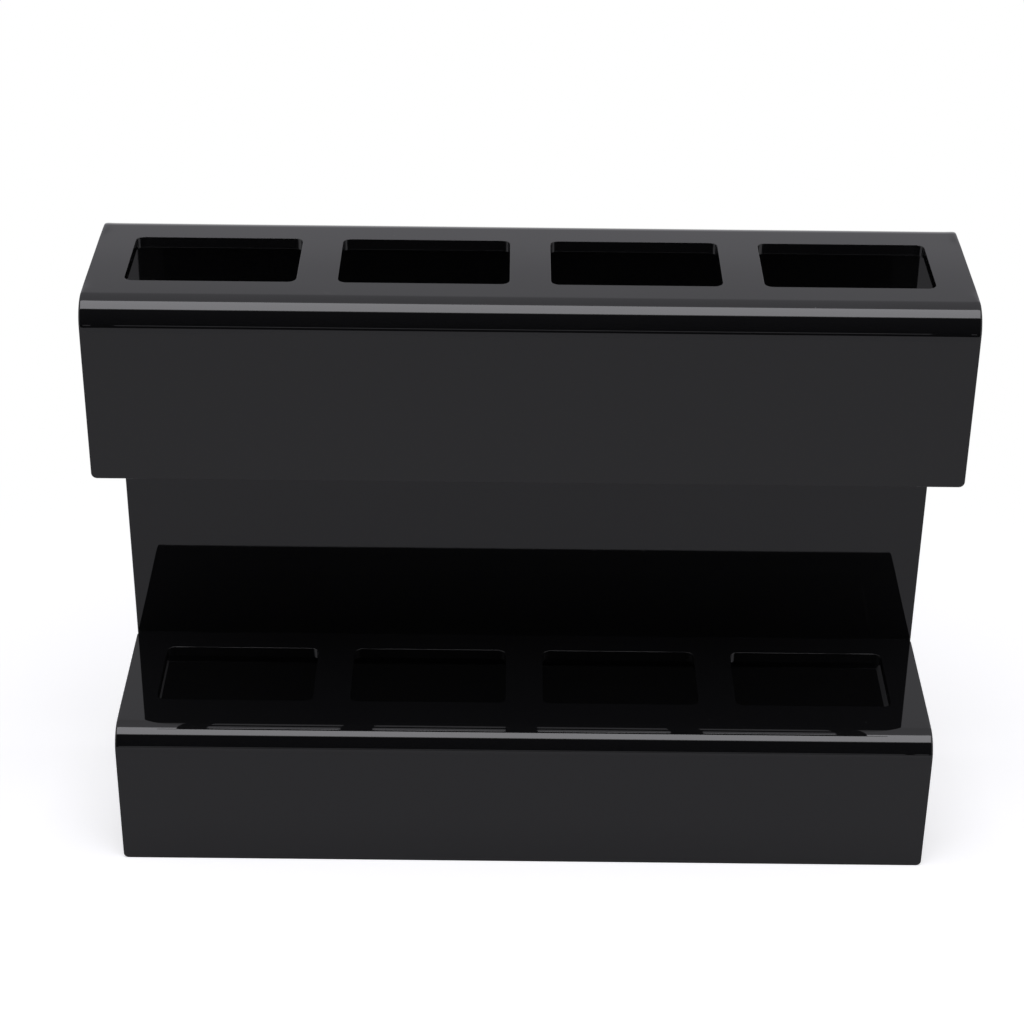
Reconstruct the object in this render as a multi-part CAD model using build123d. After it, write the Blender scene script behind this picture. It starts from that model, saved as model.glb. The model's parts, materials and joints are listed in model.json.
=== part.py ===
# Two-tier paint rack made from two pieces of black acrylic sheet.
#
# The back sheet is cut flat, then bent twice over a strip heater: its front lip turns up
# into the slotted upper shelf, and the shelf turns down into the tall back panel. The lower
# sheet is bent once, into a front lip and a slotted shelf. The cut rear edge of that shelf
# stands against the back panel, and a seam of acrylic cement holds it there.
#
# Millimetres. +X runs to the user's right, +Y from the front of the rack to its back and
# +Z up. The origin lies on the table, under the middle of the rack's footprint.

import os

from build123d import *

# Sheet
SHEET_THICKNESS = 4.0
BEND_INNER_RADIUS = 5.0
CORNER_RADIUS = 2.0  # rounding of the sheets' outer corners

# Rack
RACK_HEIGHT = 231.0
RACK_DEPTH = 72.0
UPPER_LIP_HEIGHT = 66.5
LOWER_SHELF_HEIGHT = 57.0  # upper face of the lower shelf, above the table

# Slots that the bottles stand in
SLOT_COUNT = 4
SLOT_WIDTH = 58.0
SLOT_DEPTH = 35.0
SLOT_CORNER_RADIUS = 3.0
WEB_WIDTH = 14.0  # material between two slots
END_WEB_WIDTH = 13.0  # material between an outer slot and the end of the shelf
REAR_WEB_DEPTH = 10.5  # material between the lower slots and the back panel

# Cement
CEMENT_FILM = 0.1  # gap that the cement fills between the shelf's edge and the back panel
CEMENT_BEAD = 1.5  # leg of the bead that gathers under the shelf

# Sizes that follow from the ones above
BEND_OUTER_RADIUS = BEND_INNER_RADIUS + SHEET_THICKNESS
SLOT_PITCH = SLOT_WIDTH + WEB_WIDTH
RACK_WIDTH = SLOT_COUNT * SLOT_PITCH - WEB_WIDTH + 2 * END_WEB_WIDTH
FRONT_FACE_Y = -RACK_DEPTH / 2
REAR_FACE_Y = RACK_DEPTH / 2
PANEL_FACE_Y = REAR_FACE_Y - SHEET_THICKNESS
SHELF_EDGE_Y = PANEL_FACE_Y - CEMENT_FILM
UPPER_SLOT_Y = (FRONT_FACE_Y + REAR_FACE_Y) / 2
LOWER_SLOT_Y = PANEL_FACE_Y - REAR_WEB_DEPTH - SLOT_DEPTH / 2
SAME_LENGTH = 0.001


def bent_sheet(outer_corners):
    """Sheet of the rack's full width whose outer face follows the given (y, z) corners.

    The corners run from the free edge of the front lip over the top towards the back, so
    the thickness of the sheet lies on the right-hand side of the line.
    """
    outer_line = FilletPolyline(*outer_corners, radius=BEND_OUTER_RADIUS)
    outline = offset(outer_line, amount=SHEET_THICKNESS, side=Side.RIGHT, closed=True)
    profile = Plane.YZ * make_face(outline)
    sheet = extrude(profile, amount=RACK_WIDTH / 2, both=True)
    corner_edges = [
        edge
        for edge in sheet.edges().filter_by(GeomType.LINE)
        if abs(edge.length - SHEET_THICKNESS) < SAME_LENGTH
    ]
    return fillet(corner_edges, radius=CORNER_RADIUS)


def slot_row(centre_y, shelf_height):
    """Row of cutters for the slots of one shelf, through the full thickness of the sheet."""
    slot = RectangleRounded(SLOT_WIDTH, SLOT_DEPTH, SLOT_CORNER_RADIUS)
    cutter = extrude(slot, amount=-SHEET_THICKNESS)
    row = [place * cutter for place in GridLocations(SLOT_PITCH, 0, SLOT_COUNT, 1)]
    return Pos(0, centre_y, shelf_height) * Compound(children=row)


def make_back_sheet():
    """Upper lip, upper shelf and back panel, in one piece."""
    corners = [
        (FRONT_FACE_Y, RACK_HEIGHT - UPPER_LIP_HEIGHT),
        (FRONT_FACE_Y, RACK_HEIGHT),
        (REAR_FACE_Y, RACK_HEIGHT),
        (REAR_FACE_Y, 0),
    ]
    return bent_sheet(corners) - slot_row(UPPER_SLOT_Y, RACK_HEIGHT)


def make_lower_sheet():
    """Lower lip and lower shelf, in one piece."""
    corners = [
        (FRONT_FACE_Y, 0),
        (FRONT_FACE_Y, LOWER_SHELF_HEIGHT),
        (SHELF_EDGE_Y, LOWER_SHELF_HEIGHT),
    ]
    return bent_sheet(corners) - slot_row(LOWER_SLOT_Y, LOWER_SHELF_HEIGHT)


def make_cement_seam():
    """Cement between the shelf's rear edge and the back panel, with its bead underneath."""
    underside = LOWER_SHELF_HEIGHT - SHEET_THICKNESS
    section = Polyline(
        (PANEL_FACE_Y, LOWER_SHELF_HEIGHT),
        (PANEL_FACE_Y, underside - CEMENT_BEAD),
        (SHELF_EDGE_Y - CEMENT_BEAD, underside),
        (SHELF_EDGE_Y, underside),
        (SHELF_EDGE_Y, LOWER_SHELF_HEIGHT),
        close=True,
    )
    profile = Plane.YZ * make_face(section)
    return extrude(profile, amount=RACK_WIDTH / 2 - CORNER_RADIUS, both=True)


PIECES = {
    "back_sheet": make_back_sheet(),
    "lower_sheet": make_lower_sheet(),
    "cement_seam": make_cement_seam(),
}

os.makedirs("parts", exist_ok=True)
for node, piece in PIECES.items():
    export_step(piece, f"parts/{node}.step")
    print(f"{node}: volume {piece.volume:.1f} mm3, box {piece.bounding_box().size}")
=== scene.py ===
# %% [markdown]
# # A two-tier paint rack in bent black acrylic
#
# The rack is two pieces of 4 mm sheet. Each was cut flat, with its slots, and then bent over
# a hot wire. A line of cement joins them. There is no paint, no grain and no fastener on it:
# all that the eye has to go by is how flat the faces are, how round the bends are, how the
# cut edges catch light, and what the gloss mirrors.
#
# So this lesson makes the sheets the way the workshop does. It cuts a flat blank, softens
# its edges, and bends it along a path. Then it builds the room that the gloss mirrors.

# %% Start from the fixed frame
import json
import math

import bmesh
import bpy
from mathutils import Matrix, Vector, noise


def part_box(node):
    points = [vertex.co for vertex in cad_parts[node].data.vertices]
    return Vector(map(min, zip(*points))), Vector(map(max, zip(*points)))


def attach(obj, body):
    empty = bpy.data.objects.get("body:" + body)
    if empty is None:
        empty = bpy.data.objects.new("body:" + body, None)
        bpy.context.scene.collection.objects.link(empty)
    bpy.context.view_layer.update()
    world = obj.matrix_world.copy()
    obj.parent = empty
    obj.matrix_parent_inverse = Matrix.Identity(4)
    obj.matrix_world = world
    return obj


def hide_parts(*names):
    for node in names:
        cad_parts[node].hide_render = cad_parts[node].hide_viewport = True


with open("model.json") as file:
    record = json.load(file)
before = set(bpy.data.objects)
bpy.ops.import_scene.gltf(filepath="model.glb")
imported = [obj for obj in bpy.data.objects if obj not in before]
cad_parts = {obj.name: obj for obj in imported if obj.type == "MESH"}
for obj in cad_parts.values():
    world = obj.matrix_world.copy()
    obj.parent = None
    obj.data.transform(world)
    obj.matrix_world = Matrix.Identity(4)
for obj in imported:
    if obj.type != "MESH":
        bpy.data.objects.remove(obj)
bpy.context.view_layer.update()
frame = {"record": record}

scene = bpy.context.scene
MM = 0.001

# %% [markdown]
# ## Sizes
#
# The frame knows where each sheet begins and ends, and its record lists the slots. Reading
# the sizes from there keeps the looks on the construction. Only what the frame can't tell is
# written here: the sheet's thickness, its bends and the rounding of its corners.

# %% Read the sheets and the slots
SHEET = 4.0 * MM
BEND_INNER = 5.0 * MM
BEND_OUTER = BEND_INNER + SHEET
BEND_MIDDLE = BEND_INNER + SHEET / 2
CORNER = 2.0 * MM
SLOT_CORNER = 3.0 * MM
SLOT_CLEARANCE = 0.3 * MM

back_low, back_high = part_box("back_sheet")
lower_low, lower_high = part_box("lower_sheet")
seam_low, seam_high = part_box("cement_seam")
openings = {o["name"]: o["box_m"] for o in frame["record"]["physics"]["openings"]}
upper_lip_bottom = openings["middle_bay"][1][2] + SLOT_CLEARANCE


def slots_of(tier):
    """Middle and size of each slot of one tier, as (x, y, width, depth)."""
    found = []
    for name, (low, high) in sorted(openings.items()):
        if name.startswith(tier + "_slot"):
            width = high[0] - low[0] + 2 * SLOT_CLEARANCE
            depth = high[1] - low[1] + 2 * SLOT_CLEARANCE
            found.append(((low[0] + high[0]) / 2, (low[1] + high[1]) / 2, width, depth))
    return found


print("slots per tier:", len(slots_of("upper")), len(slots_of("lower")))
print("upper lip ends at", round(upper_lip_bottom / MM, 1), "mm")

# %% [markdown]
# ## The flat blank
#
# A sheet part starts as an outline with holes. Every outline here is a rounded rectangle, so
# one function walks round it and gives each point together with the direction that faces away
# from the acrylic. That direction is worth keeping: the softened edge is the same outline
# moved inward along it, and the shading of the edge turns with it.

# %% Walk round a rounded rectangle
CORNER_STEPS = 8
QUARTER_TURN = math.radians(90)
QUARTERS = ((1, 1), (-1, 1), (-1, -1), (1, -1))


def rounded_outline(middle, size, radius, hole=False):
    """Points of a rounded rectangle with the direction that faces out of the material."""
    points = []
    sign = -1.0 if hole else 1.0
    for quarter, (side_x, side_y) in enumerate(QUARTERS):
        centre = Vector((
            middle[0] + side_x * (size[0] / 2 - radius),
            middle[1] + side_y * (size[1] / 2 - radius),
            0,
        ))
        for step in range(CORNER_STEPS + 1):
            turn = QUARTER_TURN * (quarter + step / CORNER_STEPS)
            away = Vector((math.cos(turn), math.sin(turn), 0))
            points.append((centre + away * radius, away * sign))
    return points


print("points round each outline:", len(QUARTERS) * (CORNER_STEPS + 1))

# %% [markdown]
# ## Softened edges
#
# A saw or a laser leaves an edge that is then flamed or scraped, so it is never knife sharp.
# A rounding of a fifth of a millimetre is enough to give each edge its thin line of light.
# A Bevel modifier could do it, but the rounding would change width wherever the mesh has a
# small face. Here each outline is stacked in rings instead, from one face of the sheet to the
# other. The rings know their true direction, and it is stored as the shading normal.

# %% Stack an outline into a softened edge
EDGE_ROUND = 0.18 * MM
EDGE_STEPS = 3


def edge_rings():
    """(inset, height, tilt) of each ring, from the outer face of the sheet to the inner."""
    tilts = [QUARTER_TURN * (1 - step / EDGE_STEPS) for step in range(EDGE_STEPS + 1)]
    rings = []
    for side, turns in ((1, tilts), (-1, reversed(tilts))):
        for tilt in turns:
            inset = EDGE_ROUND * (1 - math.cos(tilt))
            height = SHEET / 2 - EDGE_ROUND + EDGE_ROUND * math.sin(tilt)
            rings.append((inset, side * height, side * tilt))
    return rings


def stack_edge(mesh, normals, outline):
    """Adds the wall of one outline and returns its first and last ring of edges."""
    rings = []
    for inset, height, tilt in edge_rings():
        ring = []
        for point, away in outline:
            corner = point - away * inset
            vert = mesh.verts.new((corner.x, corner.y, height))
            vert[normals] = away * math.cos(tilt) + Vector((0, 0, math.sin(tilt)))
            ring.append(vert)
        rings.append(ring)
    count = len(outline)
    for upper, lower in zip(rings, rings[1:]):
        for i in range(count):
            j = (i + 1) % count
            wall = mesh.faces.new((upper[i], upper[j], lower[j], lower[i]))
            wall.material_index = 1
    return [
        [mesh.edges.get((ring[i], ring[(i + 1) % count])) for i in range(count)]
        for ring in (rings[0], rings[-1])
    ]


print("rings from one face to the other:", len(edge_rings()))

# %% [markdown]
# ## The blank itself
#
# With every edge in place, the sheet's two faces only have to be filled in, one between the
# first rings of all the outlines and one between their last rings. A single face can't have
# holes, so it would need a cut from the outline to each slot. Triangle Fill goes round any
# number of holes by itself.

# %% Fill the faces between the edges


def cut_blank(width, length, slots):
    """Flat sheet with rounded edges: x across it, y along it and z through its thickness."""
    mesh = bmesh.new()
    normals = mesh.verts.layers.float_vector.new("true_normal")
    mesh.verts.layers.float.new("heat")
    outlines = [rounded_outline((0, length / 2), (width, length), CORNER)]
    for x, y, slot_width, slot_depth in slots:
        outlines.append(rounded_outline((x, y), (slot_width, slot_depth), SLOT_CORNER, hole=True))
    rims = [stack_edge(mesh, normals, outline) for outline in outlines]
    for face in (0, 1):
        edges = [edge for rim in rims for edge in rim[face]]
        bmesh.ops.triangle_fill(mesh, edges=edges, use_beauty=True, use_dissolve=False)
    bmesh.ops.recalc_face_normals(mesh, faces=mesh.faces)
    return mesh, normals


# %% [markdown]
# ## Lines to bend along
#
# A mesh can only bend where it has points. The blank gets close lines across each strip that
# the hot wire softens, and close ones beside its two ends, where the bends are rounder.
# Elsewhere they are wider, just near enough for the faint unevenness that heat leaves behind.
# Cutting the finished blank with planes keeps its slots and edges as they are, and each new
# point inherits its normal from the edge it cuts.

# %% Cut the blank into a grid
FLAT_STEP = 4.5 * MM
BEND_STEP = 0.8 * MM
END_INSETS = [inset * MM for inset in (0.35, 0.65, 1.0, 1.5, 2.1, 2.9, 4.0)]
CUT_SNAP = 1e-7


def divide(start, end, step):
    """Evenly spaced places strictly between start and end, no further apart than step."""
    count = max(1, math.ceil((end - start) / step))
    return [start + (end - start) * i / count for i in range(1, count)]


def cut_lines(mesh, places, axis):
    """Cuts the whole mesh at each place along the given axis."""
    direction = Vector((0, 0, 0))
    direction[axis] = 1
    for place in places:
        everything = list(mesh.verts) + list(mesh.edges) + list(mesh.faces)
        bmesh.ops.bisect_plane(
            mesh,
            geom=everything,
            dist=CUT_SNAP,
            plane_co=direction * place,
            plane_no=direction,
        )


print("extra lines beside each end:", len(END_INSETS))

# %% [markdown]
# ## Bending
#
# The strip follows a path of straight legs and quarter turns. For each distance along the
# blank the path says where the middle of the sheet lies, which way it runs and which way is
# outward. An Armature or a Simple Deform would also bend it, but neither keeps the inner
# radius, the outer radius and the flat legs exact at once.

# %% Follow a path of legs and quarter turns
PATH_SLACK = 1e-9


class BendPath:
    """Middle line of a bent sheet in the (y, z) plane, ready to be looked up by distance."""

    def __init__(self, start, heading, legs):
        self.pieces = []
        self.length = 0.0
        point = Vector(start)
        along = Vector(heading)
        for index, leg in enumerate(legs):
            self.pieces.append(("leg", self.length, leg, point.copy(), along.copy()))
            point = point + along * leg
            self.length += leg
            if index < len(legs) - 1:
                turn = QUARTER_TURN * BEND_MIDDLE
                self.pieces.append(("bend", self.length, turn, point.copy(), along.copy()))
                inward = Vector((along.y, -along.x))
                point = point + (along + inward) * BEND_MIDDLE
                along = inward
                self.length += turn

    def bends(self):
        """Start and end of each bend, as distances along the blank."""
        return [(start, start + size) for kind, start, size, *_ in self.pieces if kind == "bend"]

    def at(self, distance):
        """Place, heading and outward direction at one distance along the blank."""
        reached = [piece for piece in self.pieces if piece[1] <= distance + PATH_SLACK]
        kind, start, _, point, along = reached[-1]
        inward = Vector((along.y, -along.x))
        gone = distance - start
        if kind == "leg":
            return point + along * gone, along, -inward
        turn = gone / BEND_MIDDLE
        centre = point + inward * BEND_MIDDLE
        outward = along * math.sin(turn) - inward * math.cos(turn)
        heading = along * math.cos(turn) + inward * math.sin(turn)
        return centre + outward * BEND_MIDDLE, heading, outward


print("sheet used by one bend in mm:", round(QUARTER_TURN * BEND_MIDDLE / MM, 1))

# %% [markdown]
# ## Faint unevenness
#
# Cast sheet is flat, but not perfectly so, and a heated strip cools a little wavy. The height
# of that wave is some hundredths of a millimetre. It can't be seen as shape, only as a slight
# swim in straight reflections, and that is exactly what tells real acrylic from a flat plane.
# It is modelled in the mesh, so it is there from every side.
#
# The two ends of a bend get hottest, because heat reaches them from the side as well. The
# sheet swells a little there, and its edge melts rounder. And a tall panel that is held at a
# bend and at a joint bows between them by a hair, which moves its mirror images.

# %% Wave height over the blank
SHEET_WAVE = 0.012 * MM
HEAT_WAVE = 0.030 * MM
HEAT_REACH = 9.0 * MM
WAVE_LENGTH_ACROSS = 55.0 * MM
WAVE_LENGTH_ALONG = 38.0 * MM
END_SWELL = 0.11 * MM
END_SWELL_REACH = 2.6 * MM
END_MELT = 0.30 * MM
END_MELT_REACH = 0.4 * MM
END_HEAT_POWER = 3
BOW_DEPTH = 0.75 * MM


def heat_at(distance, bends):
    """1 in a bend, and fading to 0 on the cool sheet beside it."""
    off = min(max(start - distance, distance - end, 0.0) for start, end in bends)
    return math.exp(-((off / HEAT_REACH) ** 2))


def wave(x, distance, heat, seed):
    """How far the whole sheet swims off its true place."""
    place = Vector((x / WAVE_LENGTH_ACROSS, distance / WAVE_LENGTH_ALONG, seed))
    return noise.noise(place) * (SHEET_WAVE + HEAT_WAVE * heat)


def end_shape(inset, heat, side):
    """Swelling and rounding at the ends of the bends, for the outer (1) or inner (-1) face."""
    swell = END_SWELL * math.exp(-((inset / END_SWELL_REACH) ** 2))
    melt = END_MELT * math.exp(-inset / END_MELT_REACH)
    return (swell - side * melt) * heat**END_HEAT_POWER


def bow(distance, held):
    """Inward bow between the two places where a panel is held, or 0 for no such places."""
    if not held or not held[0] < distance < held[1]:
        return 0.0
    share = (distance - held[0]) / (held[1] - held[0])
    return -BOW_DEPTH * math.sin(math.pi * share) ** 2


print("largest wave in mm: flat", SHEET_WAVE / MM, "bend", (SHEET_WAVE + HEAT_WAVE) / MM)

# %% [markdown]
# ## Moving the points
#
# Each point of the blank is looked up on the path and moved there. Its shading normal turns
# with the sheet, and it also leans by the slope of the unevenness at that place. Blender could
# work the normals out from the faces, but long narrow faces would then show in the gloss.

# %% Bend the blank onto its path
SLOPE_STEP = 0.05 * MM


def bend_blank(mesh, normals, path, half_width, seed, held):
    """Moves the flat blank onto its path and turns its stored normals with it."""
    bends = path.bends()
    heat = mesh.verts.layers.float["heat"]

    def stand_off(x, distance, side):
        """How far one face stands off its true surface at one place of the blank."""
        warmth = heat_at(distance, bends)
        ends = end_shape(half_width - abs(x), warmth, side)
        return wave(x, distance, warmth, seed) + ends + bow(distance, held)

    turned = []
    for vert in mesh.verts:
        x, distance, height = vert.co
        side = math.copysign(1, height)
        place, heading, outward = path.at(distance)
        lift = stand_off(x, distance, side)
        slope_x = (stand_off(x + SLOPE_STEP, distance, side) - lift) / SLOPE_STEP
        slope_y = (stand_off(x, distance + SLOPE_STEP, side) - lift) / SLOPE_STEP
        stored = vert[normals].normalized()
        flat = Vector((
            stored.x - stored.z * slope_x,
            stored.y - stored.z * slope_y,
            stored.z,
        )).normalized()
        moved = place + outward * (height + lift)
        vert.co = (x, moved.x, moved.y)
        vert[heat] = heat_at(distance, bends)
        facing = heading * flat.y + outward * flat.z
        turned.append(Vector((flat.x, facing.x, facing.y)).normalized())
    return turned


# %% [markdown]
# One function now takes a sheet through all of its steps. It cuts the blank, cuts its lines,
# bends it and hands its true normals to the finished mesh. The piece then stands in the frame
# for the plain solid of the same sheet.

# %% Make a whole sheet


def bent_sheet(name, node, path, slots, seed, held=None):
    """Cuts, divides and bends one sheet, and puts it in the frame in place of its node."""
    low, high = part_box(node)
    width = high.x - low.x
    mesh, normals = cut_blank(width, path.length, slots)
    rows = []
    edge = 0.0
    for start, end in path.bends():
        rows += divide(edge, start, FLAT_STEP) + [start]
        rows += divide(start, end, BEND_STEP) + [end]
        edge = end
    rows += divide(edge, path.length, FLAT_STEP)
    cut_lines(mesh, rows, axis=1)
    half_width = width / 2
    last_inset = half_width - END_INSETS[-1]
    columns = divide(-last_inset, last_inset, FLAT_STEP)
    columns += [side * (half_width - inset) for inset in END_INSETS for side in (-1, 1)]
    cut_lines(mesh, columns, axis=0)
    mesh.verts.index_update()
    turned = bend_blank(mesh, normals, path, half_width, seed, held)
    bmesh.ops.recalc_face_normals(mesh, faces=mesh.faces)
    for face in mesh.faces:
        face.smooth = True
    data = bpy.data.meshes.new(name)
    mesh.to_mesh(data)
    mesh.free()
    data.normals_split_custom_set_from_vertices(turned)
    data.attributes.remove(data.attributes["true_normal"])
    piece = bpy.data.objects.new(name, data)
    scene.collection.objects.link(piece)
    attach(piece, "root")
    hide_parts(node)
    print(name, "blank", round(path.length / MM, 1), "mm long,", len(data.polygons), "faces")
    return piece


# %% [markdown]
# ## The back sheet
#
# Its path climbs the upper lip, turns over the shelf and comes down as the back panel. The
# slots were found by their place from front to back, so they are moved to their distance
# along the blank before it is cut. The panel is held at its bend and at the lower shelf's
# joint, so that is where its bow begins and ends.

# %% Make the back sheet
BACK_SEED = 1.7
half_sheet = SHEET / 2
upper_legs = [
    back_high.z - upper_lip_bottom - BEND_OUTER,
    back_high.y - back_low.y - 2 * BEND_OUTER,
    back_high.z - back_low.z - BEND_OUTER,
]
back_path = BendPath((back_low.y + half_sheet, upper_lip_bottom), (0, 1), upper_legs)


def along_blank(path, slots, front_y):
    """Slots with their place from front to back turned into a distance along the blank."""
    shelf_start = path.bends()[0][1]
    shelf_front = front_y + BEND_OUTER
    return [(x, shelf_start + y - shelf_front, w, d) for x, y, w, d in slots]


panel_start = back_path.bends()[-1][1]
joint_place = back_path.length - (lower_high.z - back_low.z)
back_sheet = bent_sheet(
    "bent_back_sheet",
    "back_sheet",
    back_path,
    along_blank(back_path, slots_of("upper"), back_low.y),
    seed=BACK_SEED,
    held=(panel_start, joint_place),
)

# %% [markdown]
# ## The lower sheet
#
# The same steps with one bend fewer. Its shelf ends in a cut edge that stands against the
# back panel.

# %% Make the lower sheet
LOWER_SEED = 5.3
lower_legs = [
    lower_high.z - lower_low.z - BEND_OUTER,
    lower_high.y - lower_low.y - BEND_OUTER,
]
lower_path = BendPath((lower_low.y + half_sheet, lower_low.z), (0, 1), lower_legs)
lower_sheet = bent_sheet(
    "bent_lower_sheet",
    "lower_sheet",
    lower_path,
    along_blank(lower_path, slots_of("lower"), lower_low.y),
    seed=LOWER_SEED,
)

# %% [markdown]
# ## The cement seam
#
# Thin cement runs into the joint by itself and leaves a small hollow fillet under the shelf.
# It never sets perfectly even. The seam is lofted: one cross-section, repeated along the
# joint, whose fillet grows and shrinks a little.

# %% Loft the cement seam
SEAM_STEP = 3.0 * MM
SEAM_CURVE_STEPS = 5
SEAM_UNEVEN = 0.22
SEAM_WAVE_LENGTH = 17.0 * MM
SEAM_SEED = 9.1
SEAM_SHARP_ANGLE = math.radians(35)


def seam_section(x):
    """Cross-section of the seam at one place, as (y, z) points round it."""
    shelf_edge = lower_high.y
    underside = seam_high.z - SHEET
    leg = (underside - seam_low.z) * (1 - SEAM_UNEVEN)
    leg *= 1 + SEAM_UNEVEN * noise.noise(Vector((x / SEAM_WAVE_LENGTH, 0, SEAM_SEED)))
    points = [(seam_high.y, seam_high.z), (shelf_edge, seam_high.z), (shelf_edge, underside)]
    corner = (shelf_edge - leg, underside - leg)
    for step in range(SEAM_CURVE_STEPS + 1):
        turn = QUARTER_TURN * step / SEAM_CURVE_STEPS
        y = corner[0] + leg * math.sin(turn)
        z = corner[1] + leg * math.cos(turn)
        points.append((y, z))
    points.append((seam_high.y, corner[1]))
    return points


def loft_seam():
    """Skins the cross-sections from one end of the joint to the other."""
    mesh = bmesh.new()
    stations = [seam_low.x] + divide(seam_low.x, seam_high.x, SEAM_STEP) + [seam_high.x]
    rings = [[mesh.verts.new((x, y, z)) for y, z in seam_section(x)] for x in stations]
    for first, second in zip(rings, rings[1:]):
        for i in range(len(first)):
            j = (i + 1) % len(first)
            mesh.faces.new((first[i], first[j], second[j], second[i]))
    mesh.faces.new(rings[0])
    mesh.faces.new(rings[-1])
    bmesh.ops.recalc_face_normals(mesh, faces=mesh.faces)
    for face in mesh.faces:
        face.smooth = True
    data = bpy.data.meshes.new("cement_line")
    mesh.to_mesh(data)
    mesh.free()
    data.set_sharp_from_angle(angle=SEAM_SHARP_ANGLE)
    piece = bpy.data.objects.new("cement_line", data)
    scene.collection.objects.link(piece)
    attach(piece, "root")
    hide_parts("cement_seam")
    print("cement_line:", len(stations), "stations")
    return piece


cement_line = loft_seam()

# %% [markdown]
# ## Shader arithmetic
#
# Shader nodes are sums and products drawn as boxes. Wrapping a socket in a small class lets
# them be written as Python expressions, where `0.03 + smudge * 0.05` adds the two Math nodes.

# %% A socket that can be added and multiplied


class Wire:
    """Output socket of a node, usable in arithmetic."""

    def __init__(self, bench, socket):
        self.bench = bench
        self.socket = socket

    def __add__(self, other):
        return self.bench.maths("ADD", self, other)

    def __sub__(self, other):
        return self.bench.maths("SUBTRACT", self, other)

    def __mul__(self, other):
        return self.bench.maths("MULTIPLY", self, other)

    def __radd__(self, other):
        return self.bench.maths("ADD", other, self)

    def __rsub__(self, other):
        return self.bench.maths("SUBTRACT", other, self)

    def __rmul__(self, other):
        return self.bench.maths("MULTIPLY", other, self)


# %% [markdown]
# Every other node comes from one method of the bench. It sets the node up first and its
# sockets after that, because some settings change which sockets a node shows.

# %% A bench to build nodes on


class Bench:
    """Node tree of one material or world."""

    def __init__(self, owner):
        owner.use_nodes = True
        self.tree = owner.node_tree
        self.tree.nodes.clear()

    def node(self, kind, settings=None, sockets=None, output=0):
        """Adds a node: its settings first, then the values or links of its sockets."""
        made = self.tree.nodes.new("ShaderNode" + kind)
        for name, value in (settings or {}).items():
            if name == "stops":
                self.set_stops(made.color_ramp, value)
            else:
                setattr(made, name, value)
        for name, value in (sockets or {}).items():
            if isinstance(value, Wire):
                self.tree.links.new(value.socket, made.inputs[name])
            else:
                made.inputs[name].default_value = value
        return Wire(self, made.outputs[output]) if len(made.outputs) else None

    def set_stops(self, ramp, stops):
        """Gives a ramp its stops, as (position, grey) pairs."""
        while len(ramp.elements) < len(stops):
            ramp.elements.new(1.0)
        for element, (position, grey) in zip(ramp.elements, stops):
            element.position = position
            element.color = (grey, grey, grey, 1)

    def maths(self, operation, first, second):
        """Adds a Math node for one operation."""
        return self.node("Math", {"operation": operation}, {0: first, 1: second})


def new_material(name):
    """Empty material and the bench to build it on."""
    material = bpy.data.materials.new(name)
    return material, Bench(material)


# %% [markdown]
# ## Gloss black acrylic
#
# Black acrylic swallows nearly all light that enters it. What comes back is the mirror image
# at its surface, weak when seen head on and strong at a grazing view. That is the shader's
# own Fresnel curve at acrylic's refractive index, so it isn't painted. A mirror mixed over
# black at one fixed strength would look right at one angle only.

# %% End a material in the gloss of acrylic
ACRYLIC_IOR = 1.49
ACRYLIC_BLACK = (0.0062, 0.0062, 0.0067, 1)


def gloss_over(bench, colour, roughness, normal):
    """Ends a material in acrylic's own gloss over a dark body."""
    shader = bench.node(
        "BsdfPrincipled",
        None,
        {
            "Base Color": colour,
            "Roughness": roughness,
            "IOR": ACRYLIC_IOR,
            "Normal": normal,
        },
    )
    bench.node("OutputMaterial", None, {"Surface": shader})


head_on = ((ACRYLIC_IOR - 1) / (ACRYLIC_IOR + 1)) ** 2
print("share of light mirrored head on:", round(head_on, 3))

# %% [markdown]
# ## Marks on the polished face
#
# The surface itself is almost perfectly smooth. Four faint things break it up: a bloom where
# it was wiped, grains of dust, hair scratches, and streaks along each bend. A scanned image of
# marks would repeat and blur up close. Noise and cells give marks of any size without a seam.
#
# A cloth leaves its bloom in wide soft patches, so that is one slow noise with its low half
# cut off.

# %% Bloom where the face was wiped
BLOOM_SCALE = 22.0
BLOOM_DETAIL = 3.0
BLOOM_STOPS = [(0.45, 0.0), (0.72, 1.0)]


def wiped_bloom(bench, place):
    """Soft patches where a cloth left the surface a little less clear."""
    cloud = bench.node(
        "TexNoise", None, {"Vector": place, "Scale": BLOOM_SCALE, "Detail": BLOOM_DETAIL}
    )
    return bench.node("ValToRGB", {"stops": BLOOM_STOPS}, {"Fac": cloud})


print("bloom patches about", round(1 / BLOOM_SCALE / MM), "mm across")

# %% [markdown]
# Static draws dust to acrylic, grain by grain. A Voronoi texture splits space into cells. The
# distance to a cell's point makes one round grain, and the cell's random colour draws the lot
# that leaves most cells clean.

# %% Grains of dust
DUST_GREY = (0.07, 0.07, 0.073, 1)
DUST_SCALE = 190.0
GRAIN_STOPS = [(0.02, 1.0), (0.04, 0.0)]
DUSTY_CELL_STOPS = [(0.945, 0.0), (0.955, 1.0)]


def dust_grains(bench, place):
    """A few round grains: one cell in twenty has one at its middle."""
    cells = {"Vector": place, "Scale": DUST_SCALE}
    middle = bench.node("TexVoronoi", None, cells, output="Distance")
    lot = bench.node("TexVoronoi", None, cells, output="Color")
    lot = bench.node("SeparateColor", None, {"Color": lot}, output="Red")
    grain = bench.node("ValToRGB", {"stops": GRAIN_STOPS}, {"Fac": middle})
    chosen = bench.node("ValToRGB", {"stops": DUSTY_CELL_STOPS}, {"Fac": lot})
    return grain * chosen


print("dust cells", round(1 / DUST_SCALE / MM, 1), "mm wide")

# %% [markdown]
# Handling leaves hair scratches, thin and broken. The borders between long narrow cells are
# thin lines already, and a second noise rubs most of them out.

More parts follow.
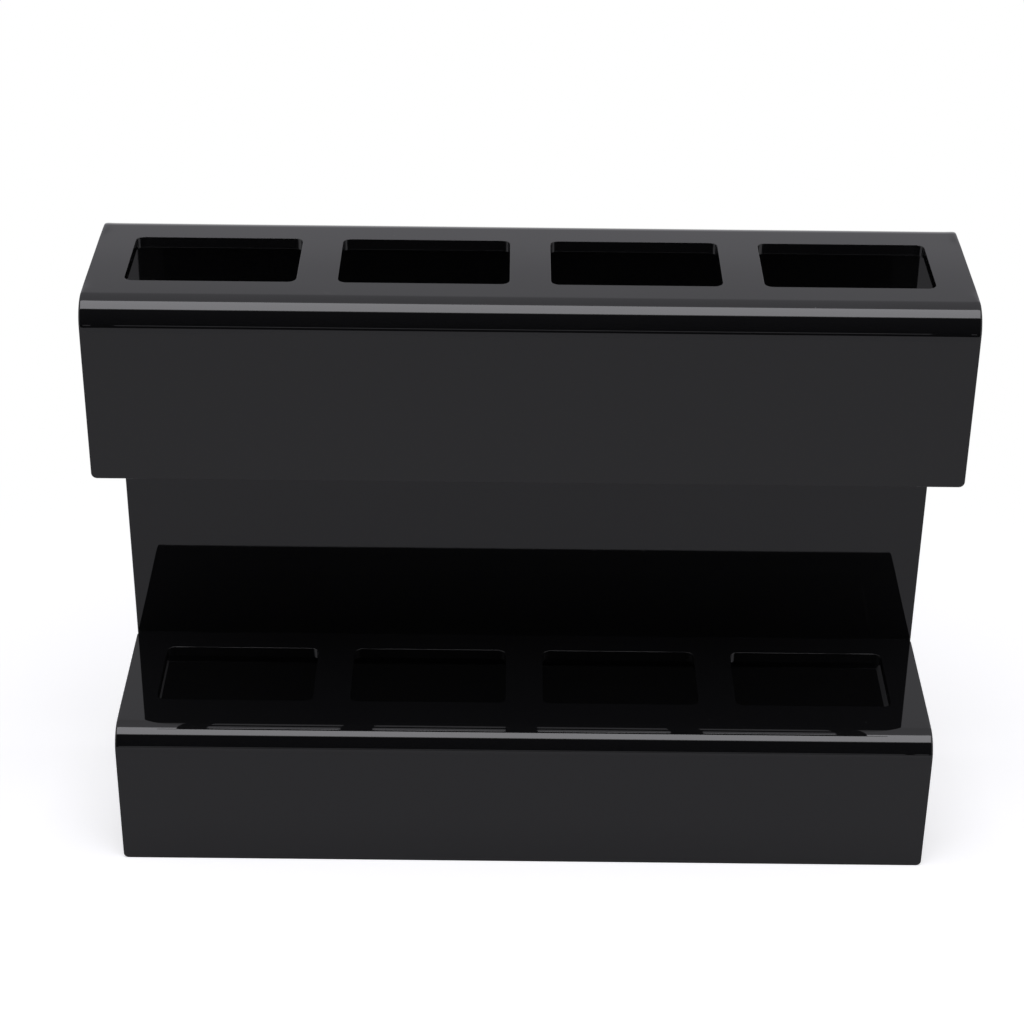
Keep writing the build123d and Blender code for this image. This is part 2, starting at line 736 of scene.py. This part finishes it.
# %% Hair scratches
SCRATCH_TURN = (0.3, 0.25, 0.2)
SCRATCH_STRETCH = (7.0, 75.0, 75.0)
SCRATCH_STOPS = [(0.0, 1.0), (0.006, 0.0)]
BREAK_SCALE = 60.0
BREAK_STOPS = [(0.56, 0.0), (0.66, 1.0)]


def hair_scratches(bench, place):
    """Thin broken lines, from the borders of long narrow cells."""
    drawn = bench.node(
        "Mapping",
        None,
        {"Vector": place, "Rotation": SCRATCH_TURN, "Scale": SCRATCH_STRETCH},
    )
    border = bench.node(
        "TexVoronoi",
        {"feature": "DISTANCE_TO_EDGE"},
        {"Vector": drawn, "Scale": 1.0},
        output="Distance",
    )
    line = bench.node("ValToRGB", {"stops": SCRATCH_STOPS}, {"Fac": border})
    broken = bench.node(
        "TexNoise", None, {"Vector": place, "Scale": BREAK_SCALE, "Detail": 1.0}
    )
    broken = bench.node("ValToRGB", {"stops": BREAK_STOPS}, {"Fac": broken})
    return line * broken


print("scratch cells", round(1 / SCRATCH_STRETCH[0] / MM), "mm long")

# %% [markdown]
# The hot wire draws fine streaks along each bend. A noise is stretched along the rack, and
# the mesh says how hot each place was, so the streaks follow the bends by themselves.

# %% Streaks of the hot wire
STREAK_STRETCH = (14.0, 700.0, 700.0)
STREAK_HEIGHT = 0.012 * MM


def heat_streaks(bench, place):
    """Fine streaks along the bends, as strong as the sheet was hot."""
    drawn = bench.node("VectorMath", {"operation": "MULTIPLY"}, {0: place, 1: STREAK_STRETCH})
    streak = bench.node("TexNoise", None, {"Vector": drawn, "Scale": 1.0, "Detail": 1.0})
    heat = bench.node("Attribute", {"attribute_name": "heat"}, output="Fac")
    return streak * heat


print("streaks", round(1 / STREAK_STRETCH[1] / MM, 1), "mm apart")

# %% [markdown]
# Each mark roughens the polish by its own share, dust most of all. Only dust has a colour of
# its own, and only the streaks are deep enough to bend a reflection.

# %% Mix the acrylic
POLISHED = 0.018
BLOOM_ROUGHNESS = 0.014
STREAK_ROUGHNESS = 0.05
SCRATCH_ROUGHNESS = 0.12
DUST_ROUGHNESS = 0.4


def gloss_acrylic():
    """Polished face of the sheet."""
    material, bench = new_material("gloss_black_acrylic")
    place = bench.node("TexCoord", output="Object")
    bloom = wiped_bloom(bench, place)
    dust = dust_grains(bench, place)
    scratches = hair_scratches(bench, place)
    streaks = heat_streaks(bench, place)
    colour = bench.node(
        "Mix",
        {"data_type": "RGBA"},
        {"Factor": dust, "A": ACRYLIC_BLACK, "B": DUST_GREY},
        output="Result",
    )
    drawn = bench.node("Bump", None, {"Height": streaks, "Distance": STREAK_HEIGHT})
    roughness = POLISHED + bloom * BLOOM_ROUGHNESS + streaks * STREAK_ROUGHNESS
    roughness = roughness + scratches * SCRATCH_ROUGHNESS + dust * DUST_ROUGHNESS
    gloss_over(bench, colour, roughness, drawn)
    return material


face_finish = gloss_acrylic()
print(face_finish.name, "has", len(face_finish.node_tree.nodes), "nodes")

# %% [markdown]
# ## Cut edges
#
# The cutter leaves faint ripples on the edge, and flaming melts them nearly away. So the edge
# is a shade less glossy than the faces, and its reflections are a little broken. A wave
# texture would draw clean straight ridges, as a saw does. After the flame only a fine uneven
# skin is left, and a small noise gives that.

# %% Mix the cut edge
RIPPLE_SCALE = 900.0
RIPPLE_DETAIL = 2.0
RIPPLE_STRENGTH = 0.08
RIPPLE_HEIGHT = 0.2 * MM
FLAMED = 0.05
RIPPLE_ROUGHNESS = 0.10


def cut_edge():
    """Flamed edge of the sheet, and the walls of its slots."""
    material, bench = new_material("flamed_cut_edge")
    place = bench.node("TexCoord", output="Object")
    ripples = bench.node(
        "TexNoise", None, {"Vector": place, "Scale": RIPPLE_SCALE, "Detail": RIPPLE_DETAIL}
    )
    shine = bench.node(
        "Bump",
        None,
        {"Height": ripples, "Strength": RIPPLE_STRENGTH, "Distance": RIPPLE_HEIGHT},
    )
    gloss_over(bench, ACRYLIC_BLACK, FLAMED + ripples * RIPPLE_ROUGHNESS, shine)
    return material


edge_finish = cut_edge()
for sheet in (back_sheet, lower_sheet):
    sheet.data.materials.append(face_finish)
    sheet.data.materials.append(edge_finish)
    print(sheet.name, "has", [slot.name for slot in sheet.material_slots])

# %% [markdown]
# ## Set cement
#
# Cement for acrylic is the same plastic dissolved in solvent. It dries clear and glossy, so
# over black it reads as black with a soft, slightly lumpy shine.

# %% Mix the cement
CEMENT_BLACK = (0.006, 0.006, 0.007, 1)
LUMP_SCALE = 260.0
LUMP_DETAIL = 2.0
LUMP_STRENGTH = 0.25
LUMP_HEIGHT = 0.4 * MM
DRIED = 0.10
LUMP_ROUGHNESS = 0.12


def set_cement():
    """Dried cement in the joint."""
    material, bench = new_material("set_cement")
    place = bench.node("TexCoord", output="Object")
    lumps = bench.node(
        "TexNoise", None, {"Vector": place, "Scale": LUMP_SCALE, "Detail": LUMP_DETAIL}
    )
    skin = bench.node(
        "Bump", None, {"Height": lumps, "Strength": LUMP_STRENGTH, "Distance": LUMP_HEIGHT}
    )
    gloss_over(bench, CEMENT_BLACK, DRIED + lumps * LUMP_ROUGHNESS, skin)
    return material


cement_line.data.materials.append(set_cement())
print("finishes:", [m.name for m in bpy.data.materials])

# %% [markdown]
# ## The table
#
# The rack stands on pale paper. The lamp lights it like any matt surface, so it keeps the
# rack's soft shadow. Around the rack it has to end in plain white, and turning up the lamp
# would spoil the black gloss. So the paper is mixed with plain white by the kind of ray that
# looks at it: the camera and clear things see it fade to white close by, and a reflection
# sees it fade further out, because the rack mirrors the lit paper at its own feet. For the
# camera the lit paper also glows a little, which keeps the shadow pale.

# %% Lay the table
TABLE_FRONT = -0.52
TABLE_BACK = 1.60
TABLE_SIDE = 1.50
PAPER_COLOUR = (0.71, 0.71, 0.725, 1)
PAPER_LIFT = 0.57
NEAR_FADE = (0.19, 0.34)
FAR_FADE = (0.50, 0.80)
WHITE = (1, 1, 1, 1)


def card(name, corners, material):
    """Flat four-cornered card of the stage."""
    data = bpy.data.meshes.new(name)
    data.from_pydata(corners, [], [(0, 1, 2, 3)])
    made = bpy.data.objects.new(name, data)
    scene.collection.objects.link(made)
    made.data.materials.append(material)
    return made


def only_reflected(made):
    """The card is seen in gloss, and neither by the camera nor by the table."""
    made.visible_camera = False
    made.visible_diffuse = False
    made.visible_shadow = False
    made.visible_transmission = False
    return made


def fade(bench, away, span):
    """0 nearer than the span and 1 beyond it, with a soft start and end."""
    nearest, furthest = span
    return bench.node(
        "MapRange",
        {"interpolation_type": "SMOOTHSTEP"},
        {"Value": away, 1: nearest, 2: furthest},
    )


def table_finish():
    """Lit paper that fades to plain white away from the rack."""
    material, bench = new_material("pale_paper")
    camera_ray = bench.node("LightPath", output="Is Camera Ray")
    clear_ray = bench.node("LightPath", output="Is Transmission Ray")
    glossy_ray = bench.node("LightPath", output="Is Glossy Ray")
    direct = camera_ray + clear_ray
    place = bench.node("TexCoord", output="Object")
    away = bench.node("VectorMath", {"operation": "LENGTH"}, {0: place}, output="Value")
    near_fade = fade(bench, away, NEAR_FADE)
    far_fade = fade(bench, away, FAR_FADE)
    paper = bench.node("BsdfDiffuse", None, {"Color": PAPER_COLOUR})
    nothing = bench.node("Emission", None, {"Strength": 0.0})
    glow = bench.node("Emission", None, {"Color": WHITE, "Strength": PAPER_LIFT})
    lift = bench.node("MixShader", None, {"Fac": direct, 1: nothing, 2: glow})
    lifted = bench.node("AddShader", None, {0: paper, 1: lift})
    white = bench.node("Emission", None, {"Color": WHITE, "Strength": 1.0})
    share = direct * near_fade + glossy_ray * far_fade
    mixed = bench.node("MixShader", None, {"Fac": share, 1: lifted, 2: white})
    bench.node("OutputMaterial", None, {"Surface": mixed})
    return material


card(
    "table",
    [
        (-TABLE_SIDE, TABLE_FRONT, 0),
        (TABLE_SIDE, TABLE_FRONT, 0),
        (TABLE_SIDE, TABLE_BACK, 0),
        (-TABLE_SIDE, TABLE_BACK, 0),
    ],
    table_finish(),
)
print("table from", TABLE_FRONT, "to", TABLE_BACK, "m")

# %% [markdown]
# ## The room in the mirror
#
# A gloss black object is a dark mirror, so lighting it means choosing what it mirrors. The
# front faces look down at the table, the shelves look at the paper behind, and a bend sweeps
# its view from that paper, over the ceiling and the lamp, to the dark side of the studio and
# down to the table's front. Cards stand for these. They show only in reflections, so the
# camera never sees them and they throw no light on the table.

# %% Bend a card round the rack
ARC_CENTRE = Vector((0, back_low.y + BEND_OUTER, back_high.z))
ARC_RADIUS = 2.0
ARC_STEP = math.radians(2)
COOL_WHITE = (0.950, 0.940, 1.0, 1)


def glow_finish(name, strength):
    """Evenly glowing card finish."""
    material, bench = new_material(name)
    shader = bench.node("Emission", None, {"Color": COOL_WHITE, "Strength": strength})
    bench.node("OutputMaterial", None, {"Surface": shader})
    return material


def arc_card(name, span, half_width, material):
    """Card bent round the rack from one elevation to another, in degrees from the back."""
    first, last = [math.radians(elevation) for elevation in span]
    angles = [first] + divide(first, last, ARC_STEP) + [last]
    verts = []
    for angle in angles:
        y = ARC_CENTRE.y + ARC_RADIUS * math.cos(angle)
        z = ARC_CENTRE.z + ARC_RADIUS * math.sin(angle)
        verts += [(-half_width, y, z), (half_width, y, z)]
    faces = [(2 * i, 2 * i + 1, 2 * i + 3, 2 * i + 2) for i in range(len(angles) - 1)]
    data = bpy.data.meshes.new(name)
    data.from_pydata(verts, [], faces)
    made = bpy.data.objects.new(name, data)
    scene.collection.objects.link(made)
    made.data.materials.append(material)
    print(name, "spans", span, "degrees")
    return only_reflected(made)


# %% [markdown]
# White paper hangs behind the rack. It is bright low down, greyest halfway up and bright again
# near the lamp. A ramp gives that grey by height, in shares of the arc's radius above its
# middle. The dark side of the studio is a black cloth, opposite.

# %% Hang the backdrop and the black cloth
BACKDROP_SPAN = (2, 84)
BACKDROP_HALF_WIDTH = 1.6
BACKDROP_STRENGTH = 1.025
BACKDROP_LEVELS = [
    (0.300, 0.88),
    (0.409, 0.71),
    (0.420, 0.63),
    (0.432, 0.59),
    (0.620, 0.55),
    (0.970, 0.84),
    (1.000, 1.00),
]
DARK_SPAN = (124, 206)
DARK_HALF_WIDTH = 1.5
DARK_LEVEL = 0.002


def backdrop_finish():
    """White paper behind the rack, shaded by height."""
    material, bench = new_material("backdrop_paper")
    place = bench.node("TexCoord", output="Object")
    height = bench.node("SeparateXYZ", None, {"Vector": place}, output="Z")
    share = (height - ARC_CENTRE.z) * (1 / ARC_RADIUS)
    level = bench.node("ValToRGB", {"stops": BACKDROP_LEVELS}, {"Fac": share})
    tinted = bench.node(
        "Mix",
        {"data_type": "RGBA", "blend_type": "MULTIPLY"},
        {"Factor": 1.0, "A": level, "B": COOL_WHITE},
        output="Result",
    )
    shader = bench.node("Emission", None, {"Color": tinted, "Strength": BACKDROP_STRENGTH})
    bench.node("OutputMaterial", None, {"Surface": shader})
    return material


arc_card("backdrop", BACKDROP_SPAN, BACKDROP_HALF_WIDTH, backdrop_finish())
arc_card("dark_side", DARK_SPAN, DARK_HALF_WIDTH, glow_finish("black_cloth", DARK_LEVEL))

# %% [markdown]
# Three flat cards stay low. The lips mirror a grey paper in front of the rack, and a narrow
# pale rail beyond it draws a thin line in the bends. Under the lower shelf the table lies in
# deep shade, and a dark card keeps the gloss from mirroring it as lit paper.

# %% Lay cards in front and below
CARD_HEIGHT = 0.5 * MM
FRONT_LEVEL = 0.58
FRONT_HALF_WIDTH = 0.75
FRONT_REAR_EDGE = (-0.260, CARD_HEIGHT)
FRONT_RAISED_EDGE = (-0.3825, 0.0464)
RAIL_HALF_WIDTH = 0.235
RAIL_LOW_EDGE = (-0.640, 0.064)
RAIL_HIGH_EDGE = (-0.640, 0.095)
SHADE_MARGIN = 1.2 * MM
SHADE_LEVEL = 0.02


def cross_card(name, rear, front, half_width, material):
    """Card across the table, from its rear (y, z) edge to its front (y, z) edge."""
    corners = [
        (-half_width, *rear),
        (half_width, *rear),
        (half_width, *front),
        (-half_width, *front),
    ]
    print(name, "from", rear, "to", front, "m")
    return only_reflected(card(name, corners, material))


front_paper = glow_finish("front_paper", FRONT_LEVEL)
cross_card("paper_front", FRONT_REAR_EDGE, FRONT_RAISED_EDGE, FRONT_HALF_WIDTH, front_paper)
cross_card("pale_rail", RAIL_LOW_EDGE, RAIL_HIGH_EDGE, RAIL_HALF_WIDTH, front_paper)
cross_card(
    "shade_below",
    (lower_high.y - SHADE_MARGIN, CARD_HEIGHT),
    (lower_low.y + SHEET + SHADE_MARGIN, CARD_HEIGHT),
    lower_high.x - SHADE_MARGIN,
    glow_finish("deep_shade", SHADE_LEVEL),
)

# %% [markdown]
# ## Lamp and world
#
# One soft lamp hangs over the rack, and its mirror image is the bright line along each bend.
# An area lamp spreads its power over its own size, so the power is worked out from the size
# and the brightness that the bends should mirror. The world fills the shadows. The camera, a
# reflection or something clear that looks straight at the world sees plain white.

# %% Hang the lamp and fill the room
LAMP_SPAN = (84, 122)
LAMP_HEIGHT = 1.6
LAMP_WIDTH = 1.6
LAMP_LUMINANCE = 3.70
FILL = 0.18

lamp_rise = LAMP_HEIGHT - ARC_CENTRE.z
lamp_rear, lamp_front = [ARC_CENTRE.y + lamp_rise / math.tan(math.radians(e)) for e in LAMP_SPAN]
lamp_depth = lamp_rear - lamp_front

lamp_data = bpy.data.lights.new("softbox", "AREA")
lamp_data.shape = "RECTANGLE"
lamp_data.size = LAMP_WIDTH
lamp_data.size_y = lamp_depth
lamp_data.energy = LAMP_LUMINANCE * LAMP_WIDTH * lamp_depth * math.pi
lamp_data.color = COOL_WHITE[:3]
lamp = bpy.data.objects.new("softbox", lamp_data)
lamp.location = (0, (lamp_rear + lamp_front) / 2, LAMP_HEIGHT)
lamp.visible_camera = False
scene.collection.objects.link(lamp)

world = bpy.data.worlds.new("studio")
scene.world = world
room = Bench(world)
seen = room.node("LightPath", output="Is Camera Ray")
seen = seen + room.node("LightPath", output="Is Glossy Ray")
seen = seen + room.node("LightPath", output="Is Transmission Ray")
fill = room.node("Background", None, {"Color": WHITE, "Strength": FILL})
white = room.node("Background", None, {"Color": WHITE, "Strength": 1.0})
sky = room.node("MixShader", None, {"Fac": seen, 1: fill, 2: white})
room.node("OutputWorld", None, {"Surface": sky})
print("lamp depth in mm:", round(lamp_depth / MM), "energy", round(lamp_data.energy, 2))

# %% [markdown]
# ## Camera
#
# A longish lens keeps the rack's uprights almost parallel. The camera stands in front of the
# rack and above it, tipped down by some thirty degrees, and turned and rolled by less than
# one.

# %% Set up the camera
CAMERA_PLACE = (-6.3 * MM, -791.1 * MM, 599.4 * MM)
CAMERA_DOWN = 30.60
CAMERA_TURN = -0.07
CAMERA_ROLL = 0.64
LEVEL_VIEW = 90
LENS_MM = 89.15
SENSOR_MM = 36.0
CLIP_START = 10.0 * MM

camera_data = bpy.data.cameras.new("camera")
camera_data.lens = LENS_MM
camera_data.sensor_width = SENSOR_MM
camera_data.clip_start = CLIP_START
camera = bpy.data.objects.new("camera", camera_data)
camera.matrix_world = (
    Matrix.Translation(CAMERA_PLACE)
    @ Matrix.Rotation(math.radians(CAMERA_TURN), 4, "Z")
    @ Matrix.Rotation(math.radians(LEVEL_VIEW - CAMERA_DOWN), 4, "X")
    @ Matrix.Rotation(math.radians(CAMERA_ROLL), 4, "Z")
)
scene.collection.objects.link(camera)
scene.camera = camera
scene.view_settings.view_transform = "Standard"
print("camera", round(Vector(CAMERA_PLACE).length, 2), "m from the middle of the footprint")
